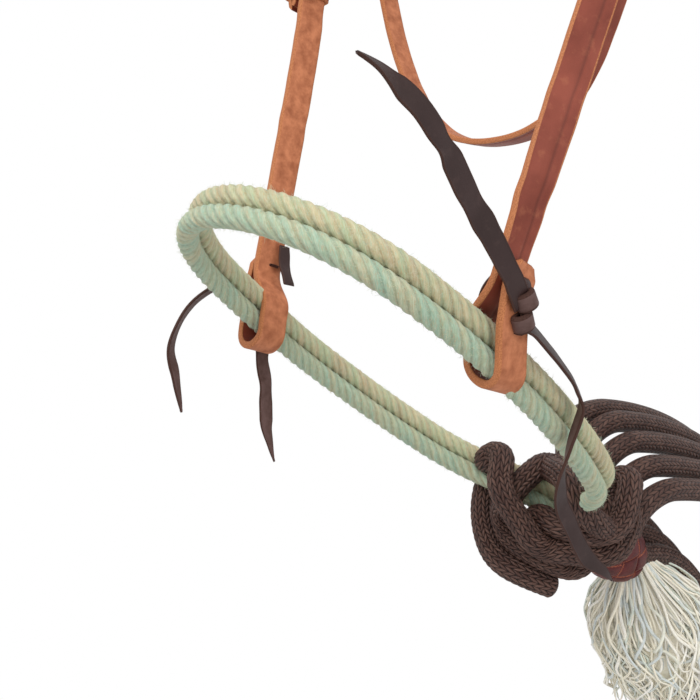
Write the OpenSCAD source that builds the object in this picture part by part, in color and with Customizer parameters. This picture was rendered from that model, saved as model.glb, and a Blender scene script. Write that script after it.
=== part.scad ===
// Loping hackamore: rope noseband in a leather headstall, with braided rope reins.
// Z is up, -Y is towards the nose, +X is the horse's left. The origin is the middle of
// the crown's underside, where a peg or the horse's poll carries the headstall.

/* [Noseband] */
// Diameter of the laid rope
rope_d = 10; // [9:0.5:12]
// Distance from the cheek axis to the front of the nose
nose_reach = 97; // [90:1:110]
// Radius of the nose bend
nose_r = 74; // [66:1:84]
// Radius of the long side bends
side_r = 280; // [250:5:320]
// Radius of the jaw bends
jaw_r = 62; // [55:1:70]
// How far the heel hangs below the cheek axis, in degrees
noseband_tilt = 29; // [20:1:34]

/* [Headstall] */
// Distance along the cheeks from the crown to the noseband
head_drop = 447; // [430:1:540]
// Inner radius of the crown
crown_r = 128; // [124:1:140]
// Width of the crown over the poll
poll_w = 25; // [20:1:32]
// Rearward lean of the cheeks, in degrees
cheek_lean = 8; // [4:1:12]
// Outward spread of each cheek, in degrees
cheek_spread = 8; // [7:0.5:10]
// How far each cheek strap stands out from the middle of the rope
cheek_out = 4; // [2:0.5:5]
// Width of the cheek straps and crown legs
cheek_w = 16; // [14:1:19]
// Thickness of the cheek straps
cheek_t = 4; // [3:0.5:4.5]
// Thickness of the crown, browband and throatlatch leather
light_t = 3.2; // [2.5:0.1:3.6]
// Height of the tie loop's opening
tie_h = 30; // [29:0.5:36]

/* [Throatlatch and browband] */
// Width of the throatlatch
throat_w = 13; // [12:1:16]
// Drop of the throatlatch below the crown
throat_drop = 333; // [320:1:380]
// Radius of the throatlatch's lowest bend
throat_r = 68; // [60:1:80]
// Width of the browband
brow_w = 19; // [16:1:25]
// Drop of the browband below the crown's arch centre
brow_below = 23; // [18:1:30]
// Rearward lean of the throatlatch, in degrees
throat_lean = 4; // [0:0.5:6]

/* [Buckles] */
// Diameter of the buckle wire
wire_d = 3; // [2.5:0.1:3.4]
// Height of a buckle from its bar to its crossbar
buckle_h = 20; // [18:1:24]
// Height of the cheek buckle bar above the noseband
buckle_up = 228; // [200:1:240]

/* [Laces] */
// Width of the lace
lace_w = 8; // [6:0.5:9]
// Thickness of the lace
lace_t = 2; // [1.6:0.1:2.2]

/* [Heel and reins] */
// Wall of the heel knot round the ropes
heel_t = 4.1; // [3.6:0.1:6]
// Length of the heel knot
heel_len = 46; // [40:1:52]
// Length of the tassel
tassel_len = 120; // [90:1:150]
// Radius of the tassel at its widest
tassel_r = 36; // [28:1:40]
// Diameter of the braided rope
rein_d = 15; // [14:0.5:15.4]

/* [Hidden] */
$fn = 48;

// Leather, metal and rope colours
tan_leather = [0.62, 0.34, 0.22];
dark_lace = [0.22, 0.16, 0.15];
steel = [0.75, 0.75, 0.76];
mint_rope = [0.70, 0.77, 0.63];
burgundy = [0.36, 0.12, 0.12];
cream = [0.88, 0.87, 0.80];
brown_rope = [0.27, 0.19, 0.18];

gap = 0.3;                       // running gap between pieces that only touch
fold_gap = 0.15;                 // play of a buckle bar in its fold
keeper_t = 2;
keeper_h = 10;
hole_d = 4.5;
hole_pitch = 20;
tongue_range = 30;

// Path helpers. A heading of 0 runs sideways, 90 runs towards the heel.
function unit(v) = v / norm(v);
function bend(p, r, a0, a1, n) =
    [for (i = [1:n]) let (a = a0 + (a1 - a0) * i / n) p + r * [cos(a0) - cos(a), sin(a) - sin(a0)]];
function arc(c, r, a0, a1, n) =
    [for (i = [0:n]) let (a = a0 + (a1 - a0) * i / n) c + r * [cos(a), sin(a)]];
function last(list) = list[len(list) - 1];
function turned(list) = [for (i = [len(list) - 1:-1:0]) list[i]];
function path_dir(p, i) = unit(p[min(i + 1, len(p) - 1)] - p[max(i - 1, 0)]);
function side_line(p, d) =
    [for (i = [0:len(p) - 1]) let (t = path_dir(p, i)) p[i] + d * [-t[1], t[0]]];

// The same for a closed path.
function loop_line(p, d) =
    [for (i = [0:len(p) - 1]) let (t = unit(p[(i + 1) % len(p)] - p[(i + len(p) - 1) % len(p)]))
     p[i] + d * [-t[1], t[0]]];

// The outline of a strip of thickness t along a flat path.
function strip(p, t) = concat(side_line(p, t / 2), turned(side_line(p, -t / 2)));

// One ring of n points round point i of a path. ref is never along the path.
function ring(p, i, r, ref, n) =
    let (t = path_dir(p, i), a = unit(cross(ref, t)), b = cross(t, a))
    [for (k = [0:n - 1]) p[i] + r * (cos(360 * k / n) * a + sin(360 * k / n) * b)];

// A rope: rings of n points swept along a path.
module tube(p, r, ref, n = 12) {
    m = len(p);
    points = [for (i = [0:m - 1]) each ring(p, i, r, ref, n)];
    sides = [for (i = [0:m - 2], k = [0:n - 1]) let (j = (k + 1) % n)
             [(i + 1) * n + k, (i + 1) * n + j, i * n + j, i * n + k]];
    start_cap = [for (k = [0:n - 1]) k];
    end_cap = [for (k = [n - 1:-1:0]) (m - 1) * n + k];
    polyhedron(points, concat([start_cap], sides, [end_cap]), convexity = 10);
}

// A strap: a strip in the local XZ plane, w wide along Y.
module strap(p, t, w) {
    rotate([90, 0, 0]) linear_extrude(w, center = true) polygon(strip(p, t));
}

// Frames. headstall() leans forward and down from the crown's arch centre, cheek()
// follows one cheek strap with its origin on the noseband axis, and noseband() tilts
// down to the heel.
cheek_run = head_drop - crown_r;
module headstall() { translate([0, 0, -crown_r]) rotate([-cheek_lean, 0, 0]) children(); }
module cheek(side) {
    headstall() mirror([side < 0 ? 1 : 0, 0, 0])
        translate([cheek_x, 0, -cheek_run]) rotate([0, cheek_spread, 0]) children();
}
module noseband() {
    headstall() translate([0, 0, -cheek_run]) rotate([cheek_lean - noseband_tilt, 0, 0]) children();
}

// Noseband loop, left half, as [along, across] points from nose to heel.
side_a = 76;
jaw_a = 110;
neck_a = 150;
neck_r = 32;
run_gap = 0.2;
run_off = (rope_d + run_gap) / 2;
nose_pts = bend([-nose_reach, 0], nose_r, 0, side_a, 12);
side_pts = bend(last(nose_pts), side_r, side_a, jaw_a, 12);
jaw_pts = bend(last(side_pts), jaw_r, jaw_a, neck_a, 6);
neck_in = (last(jaw_pts)[1] - neck_r * (1 - sin(neck_a)) - run_off) / -cos(neck_a);
neck_start = last(jaw_pts) + neck_in * [sin(neck_a), cos(neck_a)];
neck_pts = concat([neck_start], bend(neck_start, -neck_r, neck_a, 90, 6));
wrap_start = neck_start[0] + rein_d / 2 + 1;
wrap_pitch = rein_d + 0.4;
wrap_from = 275;
wrap_to = -535;
heel_start = wrap_start + wrap_pitch * (270 - wrap_to) / 360 + rein_d / 2 + gap;
heel_end = heel_start + heel_len;
half_loop = concat([[-nose_reach, 0]], nose_pts, side_pts, jaw_pts, neck_pts,
                   [[(last(neck_pts)[0] + heel_end) / 2, run_off], [heel_end, run_off]]);
cheek_a = acos(cos(side_a) + last(nose_pts)[0] / side_r);
cheek_x = last(nose_pts)[1] + side_r * (sin(cheek_a) - sin(side_a));

module noseband_run(height) {
    left = [for (p = half_loop) [p[1], p[0], height]];
    right = [for (p = turned(half_loop)) if (p[1] > 0) [-p[1], p[0], height]];
    color(mint_rope) noseband() tube(concat(right, left), rope_d / 2, [0, 0, 1]);
}
module noseband_upper_run() { noseband_run(run_off); }
module noseband_lower_run() { noseband_run(-run_off); }

// Cheek strap in its own frame: x is outwards, z is up. It runs down inside the
// noseband, round under it, up the outside and ends flat on itself.
tie_half = rope_d / 2 + 2.5;
wall = tie_half + cheek_t / 2;
strap_x = cheek_out;
fold_r = (wire_d + cheek_t) / 2 + fold_gap;
bar_x = strap_x + fold_r;
fold_len = 40;
tie_low = -(tie_h / 2 - tie_half);
tail_x = strap_x + cheek_t + 0.2;
half_tie = tie_h / 2;
tail_top = half_tie + 25;
lace_lo = half_tie + 5;
lace_hi = half_tie + 17;
lace_slot = [30, 5, lace_t + 0.6];
inner_run = [[strap_x, half_tie + 25], [strap_x - 0.8, half_tie + 18], [strap_x - 3, half_tie + 12],
             [strap_x - 6.5, half_tie + 7], [-wall + 3.5, half_tie + 3], [-wall + 1, half_tie - 1],
             [-wall, half_tie - 6], [-wall, half_tie - 12]];
cheek_path = concat(
    [[bar_x + fold_r, buckle_up - fold_len]],
    arc([bar_x, buckle_up], fold_r, 0, 180, 10),
    inner_run,
    arc([0, tie_low], wall, 180, 360, 14),
    [[wall, half_tie - 12], [wall, half_tie - 2], [wall - 0.3, half_tie + 6],
     [tail_x + 0.4, half_tie + 12], [tail_x, half_tie + 18], [tail_x, tail_top]]);

module cheek_strap(side) {
    color(tan_leather) cheek(side) difference() {
        strap(cheek_path, cheek_t, cheek_w);
        translate([bar_x, 0, buckle_up]) cube([20, tongue_w + 1.6, 26], center = true);
        for (z = [lace_lo, lace_hi]) translate([strap_x, 0, z]) cube(lace_slot, center = true);
        for (s = [-1, 1]) translate([tail_x, s * cheek_w / 2, tail_top])
            rotate([45, 0, 0]) cube([cheek_t + 0.1, 5, 5], center = true);
    }
}
module cheek_strap_left() { cheek_strap(1); }
module cheek_strap_right() { cheek_strap(-1); }

// Buckle of a strap of width w and thickness t, with its bar at the origin. The billet
// passes outside the bar and inside the crossbar.
tongue_w = 3.4;
prong_r = 1.2;
corner_more = 0.4;               // how much thicker the wire is at a buckle's corners
function billet_x(t) = wire_d / 2 + fold_gap + t + gap;
function cross_x(t) = billet_x(t) + light_t + gap + wire_d / 2;
function prong_a(t) = atan2(cross_x(t), buckle_h)
    + asin((wire_d / 2 + prong_r + gap) / norm([cross_x(t), buckle_h]));
module buckle_frame(w, t) {
    half = w / 2 + wire_d / 2 + 1.5;
    reach = norm([cross_x(t), buckle_h]);
    for (p = [[0, 0], [cross_x(t), buckle_h]]) translate([p[0], 0, p[1]]) {
        rotate([90, 0, 0]) cylinder(d = wire_d, h = 2 * half, center = true);
        for (s = [-1, 1]) translate([0, s * half, 0]) sphere(d = wire_d + corner_more);
    }
    for (s = [-1, 1]) translate([0, s * half, 0])
        rotate([0, atan2(cross_x(t), buckle_h), 0]) cylinder(d = wire_d, h = reach);
}
module buckle_tongue(t) {
    difference() {
        union() {
            rotate([90, 0, 0]) cylinder(r = wire_d / 2 + 1.3, h = tongue_w, center = true);
            rotate([0, prong_a(t), 0]) cylinder(r = prong_r, h = norm([cross_x(t), buckle_h]) + 3);
        }
        rotate([90, 0, 0]) cylinder(r = wire_d / 2 + 0.1, h = tongue_w + 1, center = true);
    }
}
// The slot that a tongue needs in a billet whose inner face is at x = 0.
module tongue_slot(t) {
    z_top = (billet_x(t) + light_t / 2) / tan(prong_a(t)) + 5;
    z_low = billet_x(t) / tan(prong_a(t) + tongue_range) - 4;
    translate([light_t / 2, 0, (z_top + z_low) / 2])
        cube([light_t + 2, 2 * prong_r + 1.2, z_top - z_low], center = true);
}
// A keeper: a square loop round everything between x0 and x1 in a strap of width w.
module keeper_loop(w, x0, x1) {
    translate([(x0 + x1) / 2, 0, 0]) difference() {
        cube([x1 - x0 + 2 * (gap + keeper_t), w + 2 * (gap + keeper_t), keeper_h], center = true);
        cube([x1 - x0 + 2 * gap, w + 2 * gap, keeper_h + 1], center = true);
    }
}
module cheek_buckle(side) {
    color(steel) cheek(side) translate([bar_x, 0, buckle_up]) buckle_frame(cheek_w, cheek_t);
}
module cheek_tongue(side) {
    color(steel) cheek(side) translate([bar_x, 0, buckle_up]) buckle_tongue(cheek_t);
}
module cheek_keeper(side) {
    color(tan_leather) cheek(side) translate([0, 0, buckle_up - fold_len + 10])
        keeper_loop(cheek_w, strap_x - cheek_t / 2, bar_x + billet_x(cheek_t) + light_t);
}
module cheek_buckle_left() { cheek_buckle(1); }
module cheek_buckle_right() { cheek_buckle(-1); }
module cheek_tongue_left() { cheek_tongue(1); }
module cheek_tongue_right() { cheek_tongue(-1); }
module cheek_keeper_left() { cheek_keeper(1); }
module cheek_keeper_right() { cheek_keeper(-1); }

// Crown: an arch over the poll, straight legs, and a billet that follows each cheek.
billet_in = bar_x + billet_x(cheek_t);       // inner face of the billet in the cheek frame
billet_low = buckle_up - 70;
billet_top = (crown_r - cheek_x - billet_in * cos(cheek_spread)) / sin(cheek_spread);
leg_len = cheek_run - billet_top * cos(cheek_spread) + billet_in * sin(cheek_spread);

module crown_strap() {
    mid_r = crown_r + light_t / 2;
    color(tan_leather) {
        strap(arc([0, -crown_r], mid_r, 0, 180, 40), light_t, cheek_w);
        strap(arc([0, -crown_r], mid_r, 35, 145, 24), light_t, poll_w);
        headstall() for (s = [-1, 1]) {
            translate([s * mid_r, 0, -leg_len / 2]) cube([light_t, cheek_w, leg_len], center = true);
            translate([s * crown_r, 0, -leg_len]) rotate([90, 0, 0])
                cylinder(r = light_t, h = cheek_w, center = true);
        }
        for (side = [-1, 1]) cheek(side) difference() {
            translate([billet_in, -cheek_w / 2, billet_low])
                cube([light_t, cheek_w, billet_top - billet_low]);
            translate([billet_in, 0, buckle_up]) tongue_slot(cheek_t);
            for (i = [1:3]) translate([billet_in + light_t / 2, 0, buckle_up + 8 - i * hole_pitch])
                rotate([0, 90, 0]) cylinder(d = hole_d, h = light_t + 2, center = true);
            for (s = [-1, 1]) translate([billet_in + light_t / 2, s * cheek_w / 2, billet_low])
                rotate([45, 0, 0]) cube([light_t + 1, 8, 8], center = true);
        }
    }
}

// Browband: a bowed strap with an end loop round each crown leg.
brow_t = 2.5;
brow_front = 78;
brow_x = crown_r + light_t / 2;
brow_y = -(cheek_w / 2 + gap + brow_t / 2);
brow_path = [for (a = [0:6:180]) [brow_x * cos(a), brow_y - brow_front * pow(sin(a), 0.8)]];
module browband() {
    color(tan_leather) headstall() translate([0, 0, -brow_below]) {
        linear_extrude(brow_w, center = true) polygon(strip(brow_path, brow_t));
        for (s = [-1, 1]) translate([s * brow_x, 0, 0]) difference() {
            cube([light_t + 2 * (gap + brow_t), cheek_w + 2 * (gap + brow_t), brow_w], center = true);
            cube([light_t + 2 * gap, cheek_w + 2 * gap, brow_w + 1], center = true);
        }
    }
}

// Lace: a stitch on the inner face, a knot on the outer face and two tails. Tails are
// flat strips just outside the knot.
function stitch_x(z) = lookup(z, [for (p = inner_run) [p[1], p[0]]]) - 0.7 * (cheek_t + lace_t) - gap;
stitch_path = [for (z = [lace_hi + 3:-3:lace_lo - 3]) [stitch_x(z), z]];
knot_r = 3.2;
knot_x = tie_half + cheek_t + 0.1 + knot_r;
tail_out = knot_x + knot_r + lace_t / 2 + 0.1;
knot_z = (lace_lo + lace_hi) / 2;
module lace_knot(side) {
    color(dark_lace) cheek(side) {
        strap(stitch_path, lace_t, lace_w);
        for (z = [lace_lo, lace_hi]) translate([(stitch_x(z) + knot_x) / 2, 0, z])
            cube([knot_x - stitch_x(z), 4.6, lace_t], center = true);
        translate([knot_x, 0, knot_z]) cylinder(r = knot_r, h = lace_hi - lace_lo + 6, center = true);
    }
}
module lace_tail(side, route) {
    color(dark_lace) cheek(side) translate([tail_out, 0, knot_z]) rotate([90, 0, 90])
        linear_extrude(lace_t, center = true) polygon(strip(route, lace_w));
}
left_upper = [[-3, 6], [-15, 11], [-40, 26], [-62, 41], [-80, 49], [-96, 53], [-110, 55]];
left_lower = [[4, -6], [18, -17], [36, -26], [48, -34], [54, -44], [55, -57], [56, -70], [61, -82],
              [73, -94], [90, -106], [112, -116]];
right_upper = [[-4, 4], [-16, -4], [-28, -14], [-38, -24], [-45, -38], [-46, -52], [-42, -64], [-36, -78]];
right_lower = [[2, -6], [6, -20], [11, -36], [14, -52], [18, -68], [24, -86]];
module lace_knot_left() { lace_knot(1); }
module lace_knot_right() { lace_knot(-1); }
module lace_upper_tail_left() { lace_tail(1, left_upper); }
module lace_upper_tail_right() { lace_tail(-1, right_upper); }
module lace_lower_tail_left() { lace_tail(1, left_lower); }
module lace_lower_tail_right() { lace_tail(-1, right_lower); }

// Throatlatch: one strap, hung over the crown, buckled to itself on the left side. Its
// sides hang plumb past the browband's end loops, then draw in to the lowest bend.
throat_y = 9;
throat_rest = 0.95;                          // slack over the crown, so that it can swing
throat_plumb = 36;
throat_top_r = crown_r + light_t + gap + brow_t + 1 + light_t / 2;
throat_arch_z = light_t + throat_rest + light_t / 2 - throat_top_r;
throat_side_z = throat_arch_z - throat_plumb;
throat_c = -throat_drop + throat_r - light_t / 2;
side_vec = [throat_top_r, throat_side_z - throat_c];
side_tilt = atan2(side_vec[0], side_vec[1]) - asin(throat_r / norm(side_vec));
throat_step = (wire_d + light_t) / 2 + fold_gap;
throat_bar = 54;                             // bar, fold end and billet tip: distances down the side
throat_fold = 86;
throat_tip = 124;
inner_shift = billet_x(light_t) + light_t / 2 + throat_step;
// Point at distance s down the left side, moved inwards by d.
function throat_at(s, d) = [throat_top_r, throat_side_z]
    + s * [-sin(side_tilt), -cos(side_tilt)] + d * [-cos(side_tilt), sin(side_tilt)];
throat_bar_at = throat_at(throat_bar, inner_shift - throat_step);
throat_path = concat(
    [throat_at(throat_tip, 0), throat_at(0, 0)],
    arc([0, throat_arch_z], throat_top_r, 0, 180, 40),
    [[-throat_top_r, throat_side_z]],
    arc([0, throat_c], throat_r, 180 + side_tilt, 360 - side_tilt, 24),
    [throat_at(throat_tip + 12, inner_shift)],
    [for (a = [0:20:180]) throat_bar_at + throat_step
        * [-cos(a) * cos(side_tilt) + sin(a) * sin(side_tilt), cos(a) * sin(side_tilt) + sin(a) * cos(side_tilt)]],
    [throat_at(throat_fold, inner_shift - 2 * throat_step)]);
module throat_hang() {
    translate([0, throat_y, light_t + throat_rest]) rotate([throat_lean, 0, 0])
        translate([0, -throat_y, -light_t - throat_rest]) children();
}
module throat_frame() {
    throat_hang() translate([throat_bar_at[0], throat_y, throat_bar_at[1]]) rotate([0, side_tilt, 0]) children();
}
module throatlatch_strap() {
    color(tan_leather) difference() {
        throat_hang() translate([0, throat_y, 0]) strap(throat_path, light_t, throat_w);
        throat_frame() {
            translate([billet_x(light_t), 0, 0]) tongue_slot(light_t);
            cube([wire_d + 2 * light_t + 1, tongue_w + 1.6, 22], center = true);
        }
    }
}
module throat_buckle() { color(steel) throat_frame() buckle_frame(throat_w, light_t); }
module throat_tongue() { color(steel) throat_frame() buckle_tongue(light_t); }
module throat_keeper() {
    color(tan_leather) throat_frame() translate([0, 0, -22])
        keeper_loop(throat_w, -wire_d / 2 - light_t, billet_x(light_t) + light_t);
}

// Heel knot: a plaited sleeve over the four rope parts.
bundle_r = run_off * sqrt(2) + rope_d / 2 + 0.15;
module heel_knot() {
    end_r = bundle_r + 1.5;
    heel_r = bundle_r + heel_t;
    color(burgundy) noseband() translate([0, heel_start, 0]) rotate([-90, 0, 0]) rotate_extrude()
        polygon(concat([[bundle_r, 0]],
                       [for (i = [0:8]) [end_r + (heel_r - end_r) * sin(180 * i / 8), heel_len * i / 8]],
                       [[bundle_r, heel_len]]));
}

// Tassel: the frayed ends, a soft bulb that hangs back and down from the heel knot. It
// swings about the middle of its round neck.
tassel_fall = 60;
tassel_neck = bundle_r - gap;
module tassel() {
    color(cream) noseband() translate([0, heel_end + gap + tassel_neck, 0])
        rotate([noseband_tilt - tassel_fall, 0, 0]) rotate([-90, 0, 0]) rotate_extrude()
        polygon(concat([for (a = [-90:15:0]) tassel_neck * [cos(a), sin(a)]],
                       [[tassel_neck + 7, tassel_len * 0.12], [tassel_r - 4, tassel_len * 0.4],
                        [tassel_r, tassel_len * 0.62], [tassel_r - 3, tassel_len * 0.8],
                        [tassel_r * 0.6, tassel_len * 0.92], [0, tassel_len * 0.92]]));
}

// Rein wraps: turns of braided rope round the heel, from a short cut end under the
// heel on the left to the right side, where the reins leave. They draw in to the bundle.
wrap_a = 37;
wrap_b = 31;
wrap_in = bundle_r + rein_d / 2 + gap;
wrap_hug = 135;                              // degrees of the last turn that hug the bundle
function wrap_at(t) = let (k = max(0, t - wrap_to - wrap_hug) / (wrap_from - wrap_to - wrap_hug))
    [(wrap_in + (wrap_a - wrap_in) * k) * cos(t), wrap_start + wrap_pitch * (270 - t) / 360,
     (wrap_in + (wrap_b - wrap_in) * k) * sin(t)];
wrap_path = concat([[52, wrap_start - 9, -58], [34, wrap_start - 8, -45]],
                   [for (t = [wrap_from:-15:wrap_to]) wrap_at(t)]);
module rein_wraps() {
    color(brown_rope) noseband() tube(wrap_path, rein_d / 2, [0, 1, 0], 10);
}

// Reins: loops of the free rope, gathered behind the heel. Each loop is a slab of its
// outer shape; the loops step sideways by rein_step and down by loop_fall.
rein_step = 15;
loop_fall = 6;
loops = 4;
hank_x = -40;
hank_y = 196;
hank_z = -468;
top_fold = 29;
low_fold = 42;
out_r = 198;
in_r = out_r - 2 * low_fold;
hank_low = -930;
hank_loop = concat(
    arc([hank_y, hank_z - out_r], out_r, 90, 0, 20),
    arc([hank_y + out_r - low_fold, hank_low], low_fold, 0, -180, 12),
    arc([hank_y, hank_z - 2 * top_fold - in_r], in_r, 0, 90, 16),
    arc([hank_y, hank_z - top_fold], top_fold, 258, 102, 10));
module hank_slab(i) {
    translate([hank_x + i * rein_step, 0, -i * loop_fall]) rotate([90, 0, 90])
        linear_extrude(rein_step - 0.2, center = true) difference() {
            polygon(loop_line(hank_loop, rein_d / 2));
            polygon(loop_line(hank_loop, -rein_d / 2));
            if (i == 0) translate([hank_y - 60, hank_z - 80]) square([60, 100]);
        }
}
module rein_hank() { color(brown_rope) for (i = [0:loops - 1]) hank_slab(i); }

lead_route = [[-20.3, 136.2, -544.4], [-21.3, 140.1, -539.3], [-23, 145.8, -530], [-26, 149.3, -519],
              [-31, 151.3, -508], [-36, 152, -497], [-39.3, 154.5, -486], [-40, 162, -477],
              [-40, 173, -470.5], [-40, 184, -468], [-40, 195.7, -468]];
module rein_lead() { color(brown_rope) tube(lead_route, rein_d / 2, [1, 0, 0], 10); }

tail_x0 = hank_x + loops * rein_step + 0.5;
tail_z = hank_z - loops * loop_fall;
tail_low = -800;
tail_arc = arc([hank_y, tail_z - out_r], out_r, 90, 0, 14);
tail_route = concat([for (p = tail_arc) [tail_x0, p[0], p[1]]],
                    [for (z = [tail_z - out_r - 25:-25:tail_low]) [tail_x0, hank_y + out_r, z]]);
module rein_tail() { color(brown_rope) tube(tail_route, rein_d / 2, [1, 0, 0], 10); }

// Lace tie round both columns of the gathered reins.
tie_z = -860;
module hank_tie() {
    x0 = hank_x - rein_step / 2 - gap;
    x1 = hank_x + (loops - 0.5) * rein_step + gap;
    y0 = hank_y + out_r - 2 * low_fold - rein_d / 2 - gap;
    y1 = hank_y + out_r + rein_d / 2 + gap;
    color(dark_lace) translate([(x0 + x1) / 2, (y0 + y1) / 2, tie_z]) difference() {
        cube([x1 - x0 + 2 * lace_t, y1 - y0 + 2 * lace_t, lace_w], center = true);
        cube([x1 - x0, y1 - y0, lace_w + 1], center = true);
    }
}

crown_strap();
browband();
cheek_strap_left();
cheek_strap_right();
cheek_buckle_left();
cheek_buckle_right();
cheek_tongue_left();
cheek_tongue_right();
cheek_keeper_left();
cheek_keeper_right();
lace_knot_left();
lace_knot_right();
lace_upper_tail_left();
lace_upper_tail_right();
lace_lower_tail_left();
lace_lower_tail_right();
throatlatch_strap();
throat_buckle();
throat_tongue();
throat_keeper();
noseband_upper_run();
noseband_lower_run();
heel_knot();
tassel();
rein_wraps();
rein_lead();
rein_hank();
rein_tail();
hank_tie();
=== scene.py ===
import math

import bpy
import numpy as np
from mathutils import Matrix, Vector


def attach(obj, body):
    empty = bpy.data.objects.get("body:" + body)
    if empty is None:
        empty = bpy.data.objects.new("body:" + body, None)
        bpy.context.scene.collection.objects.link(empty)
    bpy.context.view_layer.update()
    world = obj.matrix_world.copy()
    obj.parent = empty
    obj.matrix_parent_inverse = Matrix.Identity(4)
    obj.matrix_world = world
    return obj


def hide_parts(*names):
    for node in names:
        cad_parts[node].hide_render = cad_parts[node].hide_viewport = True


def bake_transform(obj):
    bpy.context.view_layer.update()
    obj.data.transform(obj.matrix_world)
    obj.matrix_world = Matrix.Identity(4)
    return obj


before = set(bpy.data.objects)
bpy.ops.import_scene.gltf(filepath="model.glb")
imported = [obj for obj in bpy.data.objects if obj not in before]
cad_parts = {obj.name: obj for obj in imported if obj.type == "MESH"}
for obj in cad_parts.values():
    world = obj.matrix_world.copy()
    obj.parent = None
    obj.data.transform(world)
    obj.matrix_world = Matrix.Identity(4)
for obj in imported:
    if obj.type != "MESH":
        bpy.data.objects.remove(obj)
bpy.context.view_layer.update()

rng = np.random.default_rng(7)
X, Y, Z = np.eye(3)

# ---------------------------------------------------------------- sizes, in millimetres
CROWN_R, CHEEK_X, CHEEK_RUN = 128.0, 78.8301, 319.0
CHEEK_W, CHEEK_T, LIGHT_T = 16.0, 4.0, 3.2
ROPE_R, RUN_OFF = 5.0, 5.1
NOSE_REACH, NOSE_R, SIDE_R, JAW_R, NECK_R = 97, 74, 280, 62, 32
NOSE_END, SIDE_END, JAW_END = 76, 110, 150
LAY_PITCH, STRANDS = 30.0, 5
REIN_R, STITCH, STITCH_MM = 7.5, 18, 3.9
HEEL_START, HEEL_END, BUNDLE_R = 214.4, 260.4, 12.363
ARCH_R = CROWN_R + LIGHT_T / 2
BROW_BELOW, BROW_W, BROW_T = 23.0, 19.0, 2.5
THROAT_W, THROAT_Y, LACE_T = 13.0, 9.0, 1.5
CHEEK_LEAN, NOSEBAND_TILT, CHEEK_SPREAD, THROAT_LEAN = 8, 29, 8, 4
THROAT_HANG = [0, 9, 4.15]
WRAP_CUT = (-20.1, 206.6, -1.8)


def turn(axis, degrees):
    """The matrix that turns round x (0) or y (1) by an angle."""
    return np.array(Matrix.Rotation(math.radians(degrees), 3, "XYZ"[axis]))


LEAN, TILT, SPREAD, HANG = turn(0, -CHEEK_LEAN), turn(0, -NOSEBAND_TILT), turn(1, CHEEK_SPREAD), turn(0, THROAT_LEAN)


def headstall(p):
    """From the frame that leans with the cheeks, with its origin at the arch centre."""
    return np.asarray(p, float) @ LEAN.T + [0, 0, -CROWN_R]


def cheek(side, p):
    """From one cheek strap's frame: x outwards, y to the heel, z up the strap."""
    q = np.asarray(p, float) @ SPREAD.T + [CHEEK_X, 0, -CHEEK_RUN]
    return headstall(q * [side, 1, 1])


def on_cheek(side):
    """The carry from one cheek strap's frame, for the points of a piece."""
    return lambda q: cheek(side, q)


def noseband(p):
    """From the noseband's frame: x across, y to the heel, z off its plane."""
    return np.asarray(p, float) @ TILT.T + headstall([0, 0, -CHEEK_RUN])


def throat(p):
    """From the plumb throatlatch plane to where it hangs, leaning back."""
    return (np.asarray(p, float) - THROAT_HANG) @ HANG.T + THROAT_HANG


# ---------------------------------------------------------------- paths
def unit(v):
    """Each vector divided by its length."""
    v = np.asarray(v, float)
    return v / np.maximum(np.linalg.norm(v, axis=-1, keepdims=True), 1e-9)


def lengths(p):
    """The distance along the points, from the first."""
    return np.r_[0, np.cumsum(np.linalg.norm(np.diff(p, axis=0), axis=1))]


def even(p, step):
    """The same line with points at equal steps."""
    p = np.asarray(p, float)
    d = lengths(p)
    s = np.linspace(0, d[-1], max(2, int(round(d[-1] / step)) + 1))
    return np.stack([np.interp(s, d, p[:, i]) for i in range(p.shape[1])], 1)


def curve(points, step):
    """A natural cubic spline through the points, at equal steps."""
    p = np.asarray(points, float)
    t = np.r_[0, np.cumsum(np.linalg.norm(np.diff(p, axis=0), axis=1) ** 0.75)]
    n, h = len(t), np.diff(t)
    a, b = np.eye(n), np.zeros_like(p)
    for i in range(1, n - 1):
        a[i, i - 1:i + 2] = h[i - 1], 2 * (h[i - 1] + h[i]), h[i]
        b[i] = 6 * ((p[i + 1] - p[i]) / h[i] - (p[i] - p[i - 1]) / h[i - 1])
    m = np.linalg.solve(a, b)
    s = np.linspace(0, t[-1], 16 * n)
    i = np.clip(np.searchsorted(t, s) - 1, 0, n - 2)
    u, v, w = (s - t[i])[:, None], (t[i + 1] - s)[:, None], h[i][:, None]
    q = (m[i] * v ** 3 + m[i + 1] * u ** 3) / (6 * w) \
        + (p[i] / w - m[i] * w / 6) * v + (p[i + 1] / w - m[i + 1] * w / 6) * u
    return even(q, step)


def bend(p, r, a0, a1, n):
    """Points of a bend that starts at p with heading a0; 0 runs sideways, 90 to the heel."""
    start = math.radians(a0)
    a = np.radians(a0 + (a1 - a0) * np.arange(1, n + 1) / n)
    return np.asarray(p) + r * np.stack([math.cos(start) - np.cos(a), np.sin(a) - math.sin(start)], 1)


def arc(c, r, a0, a1, n):
    """Points of a circle round c, from a0 to a1 degrees."""
    a = np.radians(np.linspace(a0, a1, n + 1))
    return np.asarray(c, float) + r * np.stack([np.cos(a), np.sin(a)], 1)


def headings(p, closed=False):
    """The direction of the path at each point."""
    if closed:
        return unit(np.roll(p, -1, 0) - np.roll(p, 1, 0))
    return unit(np.gradient(p, axis=0))


def around(p, a, b, r, phi):
    """Rings round the points p: out by r, at the angles phi from a towards b."""
    across = np.cos(phi)[None, :, None] * a[:, None] + np.sin(phi)[None, :, None] * b[:, None]
    return p[:, None] + r[..., None] * across


def ease(x):
    """From 0 to 1 with a soft start and end."""
    x = np.clip(x, 0, 1)
    return x * x * (3 - 2 * x)


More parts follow.
